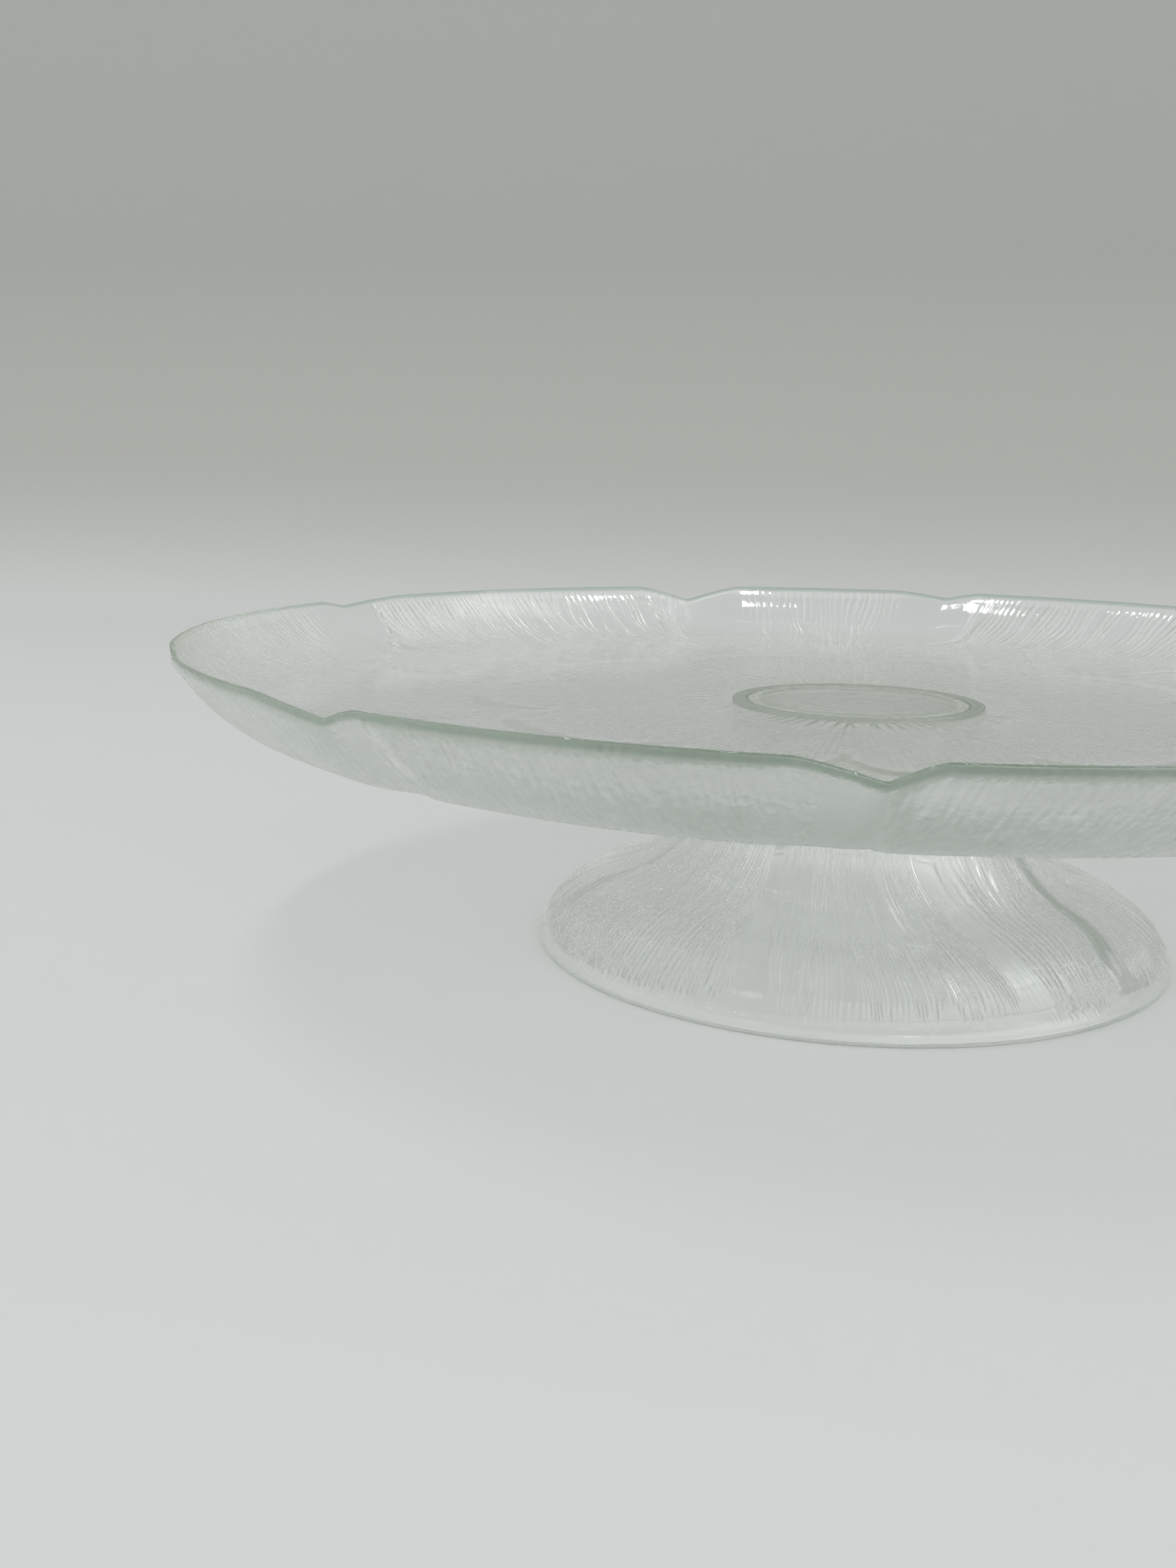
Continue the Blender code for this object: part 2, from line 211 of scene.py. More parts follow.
def ribTree():
    tree = bpy.data.node_groups.new("pressedRibs", "GeometryNodeTree")
    tree.is_modifier = True
    for label, kind in (("Geometry", "Geometry"), ("Rib Depth", "Float"), ("Rib Spread", "Float"),
                        ("Wave Height", "Float"), ("Wave Size", "Float"), ("Seed", "Int"),
                        ("Glass", "Material")):
        tree.interface.new_socket(label, in_out="INPUT", socket_type="NodeSocket" + kind)
    tree.interface.new_socket("Geometry", in_out="OUTPUT", socket_type="NodeSocketGeometry")
    source = addNode(tree, "NodeGroupInput").outputs
    target = addNode(tree, "NodeGroupOutput")

    named = {}
    for label in ("ribPhase", "ribDepth", "ribSharp", "waveShare"):
        node = addNode(tree, "GeometryNodeInputNamedAttribute", data_type="FLOAT")
        node.inputs["Name"].default_value = label
        named[label] = node.outputs["Attribute"]

    # groove between two ribs: 0 on top of the rib, 1 at the bottom of the groove
    across = calc(tree, "FRACT", named["ribPhase"])
    across = calc(tree, "ABSOLUTE", calc(tree, "SUBTRACT", across, 0.5))
    groove = calc(tree, "POWER", calc(tree, "MULTIPLY", across, 2.0), named["ribSharp"])

    # each groove has its own depth
    chance = addNode(tree, "FunctionNodeRandomValue", data_type="FLOAT")
    floats = [socket for socket in chance.inputs if socket.type == "VALUE"]
    link(tree, calc(tree, "SUBTRACT", 1.0, source["Rib Spread"]), floats[0])
    link(tree, calc(tree, "ADD", 1.0, source["Rib Spread"]), floats[1])
    number = calc(tree, "ROUND", named["ribPhase"])
    link(tree, number, chance.inputs["ID"])
    link(tree, source["Seed"], chance.inputs["Seed"])
    own = next(socket for socket in chance.outputs if socket.type == "VALUE")
    press = calc(tree, "MULTIPLY", groove, named["ribDepth"])
    press = calc(tree, "MULTIPLY", calc(tree, "MULTIPLY", press, own), source["Rib Depth"])

    noise = addNode(tree, "ShaderNodeTexNoise", noise_dimensions="3D")
    noise.inputs["Detail"].default_value = 1.0
    link(tree, calc(tree, "DIVIDE", 1.0, source["Wave Size"]), noise.inputs["Scale"])
    wave = calc(tree, "SUBTRACT", noise.outputs[0], 0.5)
    wave = calc(tree, "MULTIPLY", calc(tree, "MULTIPLY", wave, source["Wave Height"]), named["waveShare"])

    shift = addNode(tree, "ShaderNodeVectorMath", operation="SCALE")
    link(tree, addNode(tree, "GeometryNodeInputNormal").outputs[0], shift.inputs[0])
    link(tree, calc(tree, "SUBTRACT", wave, press), shift.inputs["Scale"])
    move = addNode(tree, "GeometryNodeSetPosition")
    link(tree, source["Geometry"], move.inputs["Geometry"])
    link(tree, shift.outputs[0], move.inputs["Offset"])
    smooth = addNode(tree, "GeometryNodeSetShadeSmooth")
    link(tree, move.outputs[0], smooth.inputs["Geometry"])
    real = addNode(tree, "GeometryNodeRealizeInstances")
    link(tree, smooth.outputs[0], real.inputs["Geometry"])
    paint = addNode(tree, "GeometryNodeSetMaterial")
    link(tree, real.outputs[0], paint.inputs["Geometry"])
    link(tree, source["Glass"], paint.inputs["Material"])
    link(tree, paint.outputs[0], target.inputs["Geometry"])
    return tree


def pressRibs(piece, tree, sizes, material):
    ribs = piece.modifiers.new("ribs", "NODES")
    ribs.node_group = tree
    values = {"Rib Depth": sizes["ribDepth"], "Rib Spread": sizes["ribSpread"], "Seed": sizes["seed"],
              "Wave Height": sizes["waveHeight"], "Wave Size": sizes["waveSize"], "Glass": material}
    for item in tree.interface.items_tree:
        if item.in_out == "INPUT" and item.name in values:
            ribs[item.identifier] = values[item.name]
    done = piece.evaluated_get(bpy.context.evaluated_depsgraph_get())
    mesh = bpy.data.meshes.new_from_object(done)
    piece.modifiers.clear()
    piece.data = mesh
    for label in ("ribPhase", "ribDepth", "ribSharp", "waveShare"):
        if label in mesh.attributes:
            mesh.attributes.remove(mesh.attributes[label])
    mesh.materials.clear()
    mesh.materials.append(material)


# pressed plate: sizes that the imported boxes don't give
plate = {
    "rimThickness": 0.0013,
    "floorThickness": 0.0045,
    "wallCurve": 0.030,  # bend from floor to wall at mid-thickness
    "wallAngle": 50.0,
    "notchPull": 0.0012,
    "notchSharpness": 1.3,
    "notchSoft": 0.05,
    "notchSoftLow": 0.7,  # softer still where the wall meets the floor
    "petalRelief": 0.0005,
    "petalStart": 0.088,  # radius where the outer petals start to rise
    "petalFull": 0.130,
    "sweepEnd": 0.66,  # share of the radius where the petals' sweep is complete
    "creaseBlend": 0.8,  # degrees, the sharp edge of a plain band
    "creaseRidge": 0.0009,  # height of the ridge along that edge, on the far side
    "creaseWidth": 0.50,  # degrees
    "softBlend": 6.0,  # degrees, its soft edge
    "bandClose": 0.56,  # share of the radius where a plain band has closed
    "bandOpen": 0.92,
    "ribs": 480,
    "ribSteps": (0.0, 0.25, 0.5, 0.75),  # columns of points across one rib, from groove to groove
    "ribWidths": ((0.0, 1.0),),  # azimuth, width beside the other ribs
    "ribUneven": 0.30,
    "ribDepth": 0.00012,
    "ribSpread": 0.40,
    "ribFadeStart": 0.80,  # share of the radius
    "ribFadeEnd": 0.64,
    "ribTop": 0.06,  # share of the wall over which the ribs rise below the rim
    "ribWander": 0.30,  # degrees
    "innerRibs": 0.35,  # depth of the ribs inside the wall, beside those outside
    "innerFrost": 0.2,
    "floorFrost": 0.5,
    "topFrost": 0.4,
    "wallFrost": 1.0,
    "plainFrost": 0.35,  # more on the plain bands of the near side
    "wallFrostFrom": 0.72,  # share of the radius
    "wallFrostFull": 0.84,
    "backDeeper": 2.4,  # the ribs on the far side are deeper and clearer
    "backClearer": 0.8,
    "farFrom": -0.1,  # sine of the azimuth where the far side starts
    "farFull": 0.5,
    "floorColumns": 240,
    "floorRings": 9,
    "floorInner": 0.012,
    "floorMargin": 0.004,  # between the last floor ring and the wall
    "wallRingsInside": 10,
    "wallRingsOutside": 14,
    "outsideTop": 0.97,  # share of the wall where the outside starts under the rim
    "underRings": 7,
    "underMargin": 0.002,  # between the last of them and the flower
    "rimRings": 6,
    "rimArc": (66.0, -90.0),  # degrees from the wall's slope, inside and outside
    "innerRibRise": 3.0,  # the ribs inside are full a third of the way up
    "innerFrostRise": 2.0,
    "ribEndSpread": 0.03,
    "wanderAlong": 10,
    "bandEnd": 8,  # how fast a plain band fades where it closes
    "waveHeight": 0.00005,
    "waveSize": 0.020,
    "seed": 7,
}
# azimuth, width clockwise, width anticlockwise, depth, plain band from, to, crease side, sweep inwards
rimNotches = (
    (40.8, 6.5, 4.0, 0.0030, 39.5, 48.0, "low", 5.0),
    (79.9, 3.8, 6.0, 0.0020, 75.5, 86.0, "low", 10.0),
    (111.7, 6.5, 6.0, 0.0046, 104.0, 113.3, "high", 2.0),
    (159.6, 9.0, 3.2, 0.0016, 154.0, 165.0, "low", 17.0),
    (205.0, 4.0, 6.0, 0.0026, 199.0, 206.0, "high", 6.0),
    (236.7, 8.0, 3.4, 0.0028, 236.0, 240.5, "high", -2.0),
    (271.8, 5.0, 3.0, 0.0036, 266.5, 272.5, "high", -3.0),
    (317.8, 4.0, 7.0, 0.0030, 316.0, 325.0, "low", -9.0),
    (353.8, 6.0, 4.0, 0.0034, 347.0, 355.0, "high", 4.0),
)
# azimuth at the rim, slant of the ribs there in degrees for the whole radius
ribSlants = (
    (20.0, 20.0), (60.0, 25.0), (77.0, 28.0), (98.0, 0.0), (127.0, -21.0),
    (142.0, -15.0), (180.0, -38.0), (215.0, -20.0), (240.0, -10.0), (254.0, 0.0),
    (263.0, 16.0), (274.0, -25.0), (300.0, -25.0), (340.0, 10.0),
)

plateLow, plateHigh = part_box("plate")
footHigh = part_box("pedestal_foot")[1]
mounts = {mount["name"]: mount for mount in frame["record"]["mounts"]}
plateRadius = (plateHigh[0] - plateLow[0]) / 2
floorTop = mounts["plate_floor"]["pos_m"][2]
floorUnder = floorTop - plate["floorThickness"]
wallSlope = math.radians(plate["wallAngle"])
midFloor = plate["floorThickness"] / 2
midRim = plateHigh[2] - floorUnder - plate["rimThickness"] / 2
bendRise = plate["wallCurve"] * (1 - math.cos(wallSlope))
wallStraight = (midRim - midFloor - bendRise) / math.sin(wallSlope)
wallRun = plate["wallCurve"] * math.sin(wallSlope) + wallStraight * math.cos(wallSlope)
floorEdge = plateRadius - plate["rimThickness"] / 2 - wallRun
rimRadius = plate["rimThickness"] / 2


def wallSection(share, side):
    # point on the wall: share 0 at the floor, 1 at the rim; side 1 is the outside, -1 the inside
    bend = plate["wallCurve"] * wallSlope
    way = share * (bend + wallStraight)
    tilt = min(way / plate["wallCurve"], wallSlope)
    beyond = max(way - bend, 0.0)
    radius = floorEdge + plate["wallCurve"] * math.sin(tilt) + beyond * math.cos(wallSlope)
    height = midFloor + plate["wallCurve"] * (1 - math.cos(tilt)) + beyond * math.sin(wallSlope)
    half = (plate["floorThickness"] * (1 - share) + plate["rimThickness"] * share) / 2
    return radius + side * half * math.sin(tilt), height - side * half * math.cos(tilt), tilt


def notchFold(azimuth, soft):
    # how deep the rim folds at each azimuth, and how far it is drawn in
    depth, strength = np.zeros_like(azimuth), np.zeros_like(azimuth)
    for centre, clockwise, anticlockwise, deep, *band in rimNotches:
        turn = turnFrom(centre, azimuth)
        share = np.hypot(turn / np.where(turn > 0, anticlockwise, clockwise), soft)
        fold = np.maximum(1 - share, 0.0) ** plate["notchSharpness"]
        depth = np.maximum(depth, deep * fold)
        strength = np.maximum(strength, fold)
    return depth, strength


def plainBands(azimuth, radius):
    # 1 on the plain band beside each notch, 0 on the petals; then the ridge along its sharp edge
    opened = ease((radius / plateRadius - plate["bandClose"]) / (plate["bandOpen"] - plate["bandClose"]))
    swept = ease((1 - radius / plateRadius) / (1 - plate["sweepEnd"]))
    plain, ridge = np.zeros_like(azimuth), np.zeros_like(azimuth)
    for *notch, low, high, crease, sweep in rimNotches:
        own = azimuth - sweep * swept
        inward = turnFrom(low, own) if crease == "low" else -turnFrom(high, own)
        width = (high - low) * opened
        sharp = ease(inward / plate["creaseBlend"] + 0.5)
        soft = ease((width - inward) / plate["softBlend"] + 0.5)
        plain = np.maximum(plain, sharp * soft)
        ridge = np.maximum(ridge, np.exp(-(inward / plate["creaseWidth"]) ** 2))
    closing = ease(opened * plate["bandEnd"])
    return plain * closing, ridge * closing


slantPlaces, slantValues = zip(*ribSlants)


def sweptTurn(azimuth, radius):
    span = 1 - plate["sweepEnd"]
    inward = np.clip((1 - radius / plateRadius) / span, 0.0, 1.0)
    return azimuth + aroundTurn(azimuth, slantPlaces, slantValues) * span * (inward - inward ** 2 / 2)


def foldedRing(azimuth, radius, height, tilt, relief, **ribs):
    # petals stand out along the wall's normal, notches lower the rim and draw it in
    upWall = float(ease((radius - floorEdge) / wallRun))
    depth, strength = notchFold(azimuth, plate["notchSoft"] + plate["notchSoftLow"] * (1 - upWall))
    out = radius + relief * math.sin(tilt) - plate["notchPull"] * strength * upWall
    up = floorUnder + height - relief * math.cos(tilt) - depth * upWall
    return Ring(sweptTurn(azimuth, radius), out, up, **ribs)


def farSide(azimuth):
    # 0 near the camera of the photo, 1 on the other side
    return ease((np.sin(np.radians(azimuth)) - plate["farFrom"]) / (plate["farFull"] - plate["farFrom"]))


def plateTop(turn, phase):
    rings = [Ring([0.0], 0.0, floorTop, frost=plate["topFrost"])]
    for radius in np.linspace(plate["floorInner"], floorEdge - plate["floorMargin"], plate["floorRings"]):
        rings.append(Ring(evenTurn(plate["floorColumns"]), radius, floorTop, frost=plate["topFrost"]))
    for share in np.linspace(0.0, 1.0, plate["wallRingsInside"]):
        radius, height, tilt = wallSection(share, -1)
        plain = plainBands(sweptTurn(turn, radius), radius)[0]
        rise = ease(share * plate["innerRibRise"]) * ease((1 - share) / plate["ribTop"])
        lines = plate["innerRibs"] * (1 - plain) * rise
        upWall = float(ease(share * plate["innerFrostRise"]))
        dull = plate["topFrost"] + (plate["innerFrost"] - plate["topFrost"]) * upWall
        rings.append(foldedRing(turn, radius, height, tilt, 0.0, phase=phase, depth=lines, frost=dull))
    return rings


def plateRim(turn, phase):
    radius, height = wallSection(1.0, 0)[:2]
    start, end = (plate["wallAngle"] + beside for beside in plate["rimArc"])
    rings = []
    for angle in np.radians(np.linspace(start, end, plate["rimRings"])):
        out, up = radius + rimRadius * math.cos(angle), height + rimRadius * math.sin(angle)
        # painted shade: the whole rim is tinted darker and greenish
        rings.append(foldedRing(turn, out, up, 0.0, 0.0, phase=phase, edge=1.0))
    return rings


def plateUnderside(turn, phase, groove, draw):
    ends = draw.normal(0.0, plate["ribEndSpread"], plate["ribs"])
    shares = np.linspace(plate["outsideTop"], 0.0, plate["wallRingsOutside"])
    sections = [wallSection(share, 1) + (share,) for share in shares]
    first, last = floorEdge - plate["floorMargin"], flower["outerRadius"] + plate["underMargin"]
    radii = np.linspace(first, last, plate["underRings"])
    sections += [(radius, 0.0, 0.0, 0.0) for radius in radii]
    rings = []
    for radius, height, tilt, share in sections:
        plain, ridge = plainBands(sweptTurn(turn, radius), radius)
        petal = ease((radius - plate["petalStart"]) / (plate["petalFull"] - plate["petalStart"]))
        inward = 1 - radius / plateRadius
        fade = ease((radius / plateRadius + ends[groove] - plate["ribFadeEnd"])
                    / (plate["ribFadeStart"] - plate["ribFadeEnd"]))
        top = ease((1.0 - share) / plate["ribTop"])
        far = farSide(turn)
        lines = (1 - plain) * fade * top * (1 + plate["backDeeper"] * far)
        upWall = float(ease((radius / plateRadius - plate["wallFrostFrom"])
                            / (plate["wallFrostFull"] - plate["wallFrostFrom"])))
        dull = plate["floorFrost"] + (plate["wallFrost"] - plate["floorFrost"]) * upWall
        dull = (dull + plate["plainFrost"] * upWall * plain) * (1 - plate["backClearer"] * far)
        relief = plate["petalRelief"] * petal * (1 - plain) + plate["creaseRidge"] * ridge * petal * top * far
        bent = turn + plate["ribWander"] * slowDrift(turn, plate["wanderAlong"] * inward, plate["seed"])
        rings.append(foldedRing(bent, radius, height, tilt, relief, phase=phase, depth=lines, frost=dull))
    return rings


# flower pressed under the floor, round the foot
flower = {
    "edges": (13.0, 52.0, 88.0, 128.0, 166.0, 206.0, 242.5, 268.5, 297.0, 336.0),
    "reach": 0.092,
    "rounding": 0.016,
    "endPower": 4,
    "endBlend": 0.0018,
    "outlineWidth": 0.0018,
    "outlineRidge": 0.0007,  # ridge round each petal's end
    # inside the seat a light frosted ring, then a painted shade ring: radius, frost, painted shade
    "seatRings": (
        (0.0325, 0.0, 0.0), (0.0270, 0.0, 0.0), (0.0266, 2.5, 0.0), (0.0252, 2.5, 0.0),
        (0.0248, 0.0, 0.7), (0.0225, 0.0, 0.7), (0.0215, 0.3, 0.05), (0.0120, 0.3, 0.05),
    ),
    "valley": 1.8,  # degrees, the groove between two petals
    "valleyDepth": 0.35,
    "ribs": 288,
    "ribDepth": 1.0,  # of the plate's rib depth
    "ribSharp": 2.5,
    "ribSteps": (0.0, 0.18, 0.5, 0.82),
    "ribWidths": ((0.0, 1.0),),
    "ribUneven": 0.30,
    "ribWander": 0.30,
    "outerRadius": 0.098,
    "innerRadius": 0.034,
    "fluteStart": 0.043,  # short flutes round the seat
    "flutePitch": 4.0,
    "fluteDepth": 4.5,
    "fluteSharp": 1.5,
    "fluteTaper": 0.004,
    "fluteRings": 4,
    "endRings": 10,  # close rings round the petals' ends
    "endRadius": 0.078,
    "petalRadii": (0.072, 0.064, 0.055, 0.047),
    "ribEndSpread": 0.0012,
    "ribShort": 0.002,  # the ribs end before the petal does
    "ribTaper": 0.006,
    "wanderAlong": 2,
    "seatGap": 0.002,  # plain glass beside the foot's neck
    "seatBlend": 0.004,
    "frostBlend": 0.010,
}


def flowerUnderside(draw):
    turn, phase, groove = unevenRibs(flower, draw)
    ends = draw.normal(0.0, flower["ribEndSpread"], flower["ribs"])
    nearEnds = np.linspace(flower["outerRadius"], flower["endRadius"], flower["endRings"])
    nearSeat = np.linspace(flower["fluteStart"], flower["innerRadius"], flower["fluteRings"])
    rings = []
    for radius in np.concatenate((nearEnds, flower["petalRadii"], nearSeat)):
        across = petalShare(flower["edges"], turn)
        reach = flower["reach"] - flower["rounding"] * np.abs(across) ** flower["endPower"]
        inside = ease((reach - radius) / flower["endBlend"])
        nearest = np.min([np.abs(turnFrom(edge, turn)) for edge in flower["edges"]], axis=0)
        valley = ease(nearest / flower["valley"])
        seat = ease((radius - foot["neckRadius"] - flower["seatGap"]) / flower["seatBlend"])
        along = flower["wanderAlong"] * radius / flower["reach"]
        bent = turn + flower["ribWander"] * slowDrift(turn, along, plate["seed"])
        petal = inside * (1 - flower["valleyDepth"] * (1 - valley)) * seat
        if radius > flower["fluteStart"]:
            lines = ease((reach + ends[groove] - flower["ribShort"] - radius) / flower["ribTaper"]) * valley
            lines = lines * ease((radius - flower["fluteStart"]) / flower["ribTaper"])
            ribs = dict(phase=phase, depth=lines * flower["ribDepth"], sharp=flower["ribSharp"])
        else:
            short = float(ease((flower["fluteStart"] - radius) / flower["fluteTaper"]) * seat)
            ribs = dict(phase=turn / flower["flutePitch"], depth=short * flower["fluteDepth"],
                        sharp=flower["fluteSharp"])
        outline = np.exp(-((radius - reach) / flower["outlineWidth"]) ** 2)
        dull = plate["floorFrost"] * float(ease((radius - flower["fluteStart"]) / flower["frostBlend"]))
        down = plate["petalRelief"] * petal + flower["outlineRidge"] * outline
        rings.append(Ring(bent, radius, floorUnder - down, frost=dull, **ribs))
    # the inner ring is tinted darker as painted shade
    for radius, dull, seatPaintedShade in flower["seatRings"]:
        rings.append(Ring(evenTurn(plate["floorColumns"]), radius, floorUnder, frost=dull, edge=seatPaintedShade))
    rings.append(Ring([0.0], 0.0, floorUnder))
    return rings


def makePlate(tree, material):
    draw = np.random.default_rng(plate["seed"])
    turn, phase, groove = unevenRibs(plate, draw)
    rings = plateTop(turn, phase) + plateRim(turn, phase)
    rings += plateUnderside(turn, phase, groove, draw) + flowerUnderside(draw)
    piece = stitch("pressed_plate", rings)
    pressRibs(piece, tree, plate, material)
    print("plate:", len(piece.data.vertices), "points")
    return piece


# pressed foot
foot = {
    "wall": 0.0052,
    "baseWall": 0.0026,
    "baseTaper": 0.012,  # height over which the wall thickens above the base
    "edgeRadius": 0.0010,
    "shoulderWidth": 0.0213,
    "shoulderHeight": 0.0177,
    "shoulderSlope": 14.0,
    "shoulderFullness": 0.78,
    "neckRadius": 0.0315,
    "neckFullness": 0.55,
    "flareFullness": 0.50,
    "neckEdge": 0.0006,
    "seatWidth": 0.0049,
    "seatRise": 0.0012,
    "crown": 0.0060,
    "hollowCorner": 0.0080,
    "relief": 0.0003,
    "border": 0.0028,
    "petalRounding": 0.0050,
    "bandAtBase": 2.2,  # half width of a plain band, degrees
    "bandAtNeck": 1.2,
    "bandBlend": 1.4,
    "reliefBlend": 0.0070,
    "neckBlend": 0.0020,
    "ribs": 360,
    "ribSteps": (0.0, 0.14, 0.38, 0.62, 0.86),
    "ribWidths": ((0.0, 1.25), (245.0, 1.25), (258.0, 0.95), (295.0, 0.95), (305.0, 1.25)),
    "ribUneven": 0.35,
    "ribDepth": 0.00026,
    "ribSpread": 0.50,
    "ribSharp": 2.0,  # 1 is a plain groove, more leaves a rounder rib between sharper grooves
    "ribWander": 0.50,
    "ribEnds": 0.0015,  # spread of the heights where the ribs end
    "ribTaper": 0.0035,  # height over which a rib runs out
    "leanStart": 0.008,  # height where the petals start to lean
    "leanFull": 0.030,
    "foldAt": 324.0,  # one petal lies over the next
    "foldWidth": 3.6,  # degrees
    "foldDepth": 0.0010,
    "foldRunOut": 7.0,
    "foldGreen": 0.75,  # painted shade: the steep side is seen along the glass, so it is painted darker
    "foldGreenAtBase": 2.6,  # its width there and at the neck, degrees
    "foldGreenAtNeck": 1.1,
    "ribShallower": 0.30,  # at the neck, beside the base
    "wanderAlong": 2,
    "endPower": 4,  # roundness of the petals' ends
    "edgeStep": 0.0003,  # small bevel on the seat ring and in the hollow
    "crownRadii": (0.009, 0.018),
    "crownUnderRadii": (0.014, 0.007),
    "hollowGap": 0.0005,
    "cornerSteps": 8,
    "neckSteps": 4,
    "edgeSteps": 5,
    "waveFrom": 0.002,  # height where the slow waves start, so that the base stays flat
    "waveBlend": 0.003,
    "waveHeight": 0.00004,
    "waveSize": 0.016,
    "seed": 11,
    "hollowColumns": 260,
    "curveSteps": 20,
}
footBands = (12.0, 60.0, 106.0, 153.0, 199.0, 255.0, 303.0, 324.0)  # azimuth of each plain band at the base
# azimuth at the base, lean of the ribs towards the neck in degrees
footLeans = (
    (12.0, 5.0), (60.0, -8.0), (106.0, 6.0), (153.0, -6.0), (199.0, -4.0), (213.0, -8.0), (228.0, -6.0),
    (240.0, -1.0), (255.0, -9.0), (266.0, -3.0), (275.0, -7.0), (303.0, -9.0), (316.0, 11.0), (324.0, 19.0),
)

footRadius = footHigh[0]
footTop = footHigh[2]
crownTop = footTop - foot["seatRise"]
crownUnder = crownTop - foot["crown"]


def bezier(start, startHandle, endHandle, end, steps):
    share = np.linspace(0, 1, steps)[:, None]
    points = [np.array(point, float) for point in (start, startHandle, endHandle, end)]
    weights = ((1 - share) ** 3, 3 * share * (1 - share) ** 2, 3 * share ** 2 * (1 - share), share ** 3)
    return sum(weight * point for weight, point in zip(weights, points))


def footOutside():
    slope = math.radians(foot["shoulderSlope"])
    fall = np.array((math.cos(slope), -math.sin(slope)))
    neck = np.array((foot["neckRadius"], footTop - foot["neckEdge"]))
    flare = np.array((footRadius - foot["shoulderWidth"], foot["shoulderHeight"]))
    base = np.array((footRadius, foot["edgeRadius"]))
    straight = np.array((0, flare[1] - neck[1])) * foot["neckFullness"]
    runIn = fall * (flare[0] - neck[0]) * foot["flareFullness"]
    runOut = fall * foot["shoulderWidth"] * foot["shoulderFullness"]
    turnDown = np.array((0, flare[1] - base[1])) * (1 - foot["shoulderFullness"])
    upper = bezier(neck, neck + straight, flare - runIn, flare, foot["curveSteps"])
    lower = bezier(flare, flare + runOut, base + turnDown, base, foot["curveSteps"])
    return np.concatenate((upper, lower[1:]))


def arcPoints(centre, radius, start, end, steps):
    angle = np.radians(np.linspace(start, end, steps))
    return np.column_stack((centre[0] + radius * np.cos(angle), centre[1] + radius * np.sin(angle)))


def footHollow(outside):
    cornerHeight = crownUnder - foot["hollowCorner"]
    along = np.gradient(outside, axis=0)
    along /= np.linalg.norm(along, axis=1)[:, None]
    thick = foot["baseWall"] + (foot["wall"] - foot["baseWall"]) * ease(outside[:, 1:] / foot["baseTaper"])
    wall = outside + thick * np.column_stack((along[:, 1], -along[:, 0]))
    wall[-1] = outside[-1] - np.array((foot["baseWall"], 0))
    wall = wall[wall[:, 1] < cornerHeight - foot["hollowGap"]]
    neck = wall[0, 0] - foot["edgeStep"]
    centre = (neck - foot["hollowCorner"], cornerHeight)
    corner = arcPoints(centre, foot["hollowCorner"], 90, 0, foot["cornerSteps"])
    return np.concatenate((corner, wall))


def footRelief(height, azimuth):
    # 0 on the plain bands, 1 on the petals, then the height where the petals end; azimuth is the base's
    upFoot = height / footTop
    half = foot["bandAtBase"] * (1 - upFoot) + foot["bandAtNeck"] * upFoot
    nearest = np.min([np.abs(turnFrom(edge, azimuth)) for edge in footBands], axis=0)
    end = foot["border"] + foot["petalRounding"] * np.abs(petalShare(footBands, azimuth)) ** foot["endPower"]
    petal = ease((nearest - half) / foot["bandBlend"])
    return petal * ease((footTop - foot["neckEdge"] - height) / foot["neckBlend"]), end


def petalFold(azimuth):
    # steep side of the upper petal, then the lower one rises slowly
    past = -turnFrom(foot["foldAt"], azimuth) + foot["foldWidth"] / 2
    drop = np.clip(past / foot["foldWidth"], 0.0, 1.0)
    return foot["foldDepth"] * drop * (1 - ease((past - foot["foldWidth"]) / foot["foldRunOut"]))


def waveAt(height):
    return float(ease((height - foot["waveFrom"]) / foot["waveBlend"]))


def footSeat(turn):
    # crown and seat ring, as far as the neck
    seatInner = foot["neckRadius"] - foot["seatWidth"]
    step = foot["edgeStep"]
    neck = (foot["neckRadius"] - foot["neckEdge"], footTop - foot["neckEdge"])
    points = [(radius, crownTop) for radius in foot["crownRadii"]]
    points += [(seatInner - step, crownTop), (seatInner, crownTop + step)]
    points += [(seatInner, footTop - step), (seatInner + step, footTop)]
    points += arcPoints(neck, foot["neckEdge"], 90, 0, foot["neckSteps"])[:-1].tolist()
    rings = [Ring([0.0], 0.0, crownTop, wave=0.0)]
    return rings + [Ring(turn, radius, height, wave=0.0) for radius, height in points]


def footPetals(outside, draw):
    # ribbed skin from the neck to the base
    turn, phase, groove = unevenRibs(foot, draw)
    ends = draw.exponential(foot["ribEnds"], foot["ribs"])
    lean = aroundTurn(turn, *zip(*footLeans))
    rings = []
    for radius, height in outside:
        petal, end = footRelief(height, turn)
        raised = ease((height - end) / foot["reliefBlend"])
        upFoot = height / footTop
        leaning = ease((height - foot["leanStart"]) / (foot["leanFull"] - foot["leanStart"]))
        wander = foot["ribWander"] * slowDrift(turn, foot["wanderAlong"] * upFoot, foot["seed"])
        lines = petal * ease((height - end - ends[groove]) / foot["ribTaper"])
        fold = petalFold(turn) * raised
        # painted shade: a darker greenish stripe painted along the fold's steep side
        stripe = foot["foldGreenAtBase"] * (1 - upFoot) + foot["foldGreenAtNeck"] * upFoot
        foldPaintedShade = foot["foldGreen"] * raised * np.exp(-(turnFrom(foot["foldAt"], turn) / stripe) ** 2)
        out = radius + foot["relief"] * (petal * raised) - fold
        depth = lines * (1 - foot["ribShallower"] * upFoot)
        rings.append(Ring(turn + lean * leaning + wander, out, height, phase=phase, depth=depth,
                          sharp=foot["ribSharp"], wave=waveAt(height), edge=foldPaintedShade))
    return rings


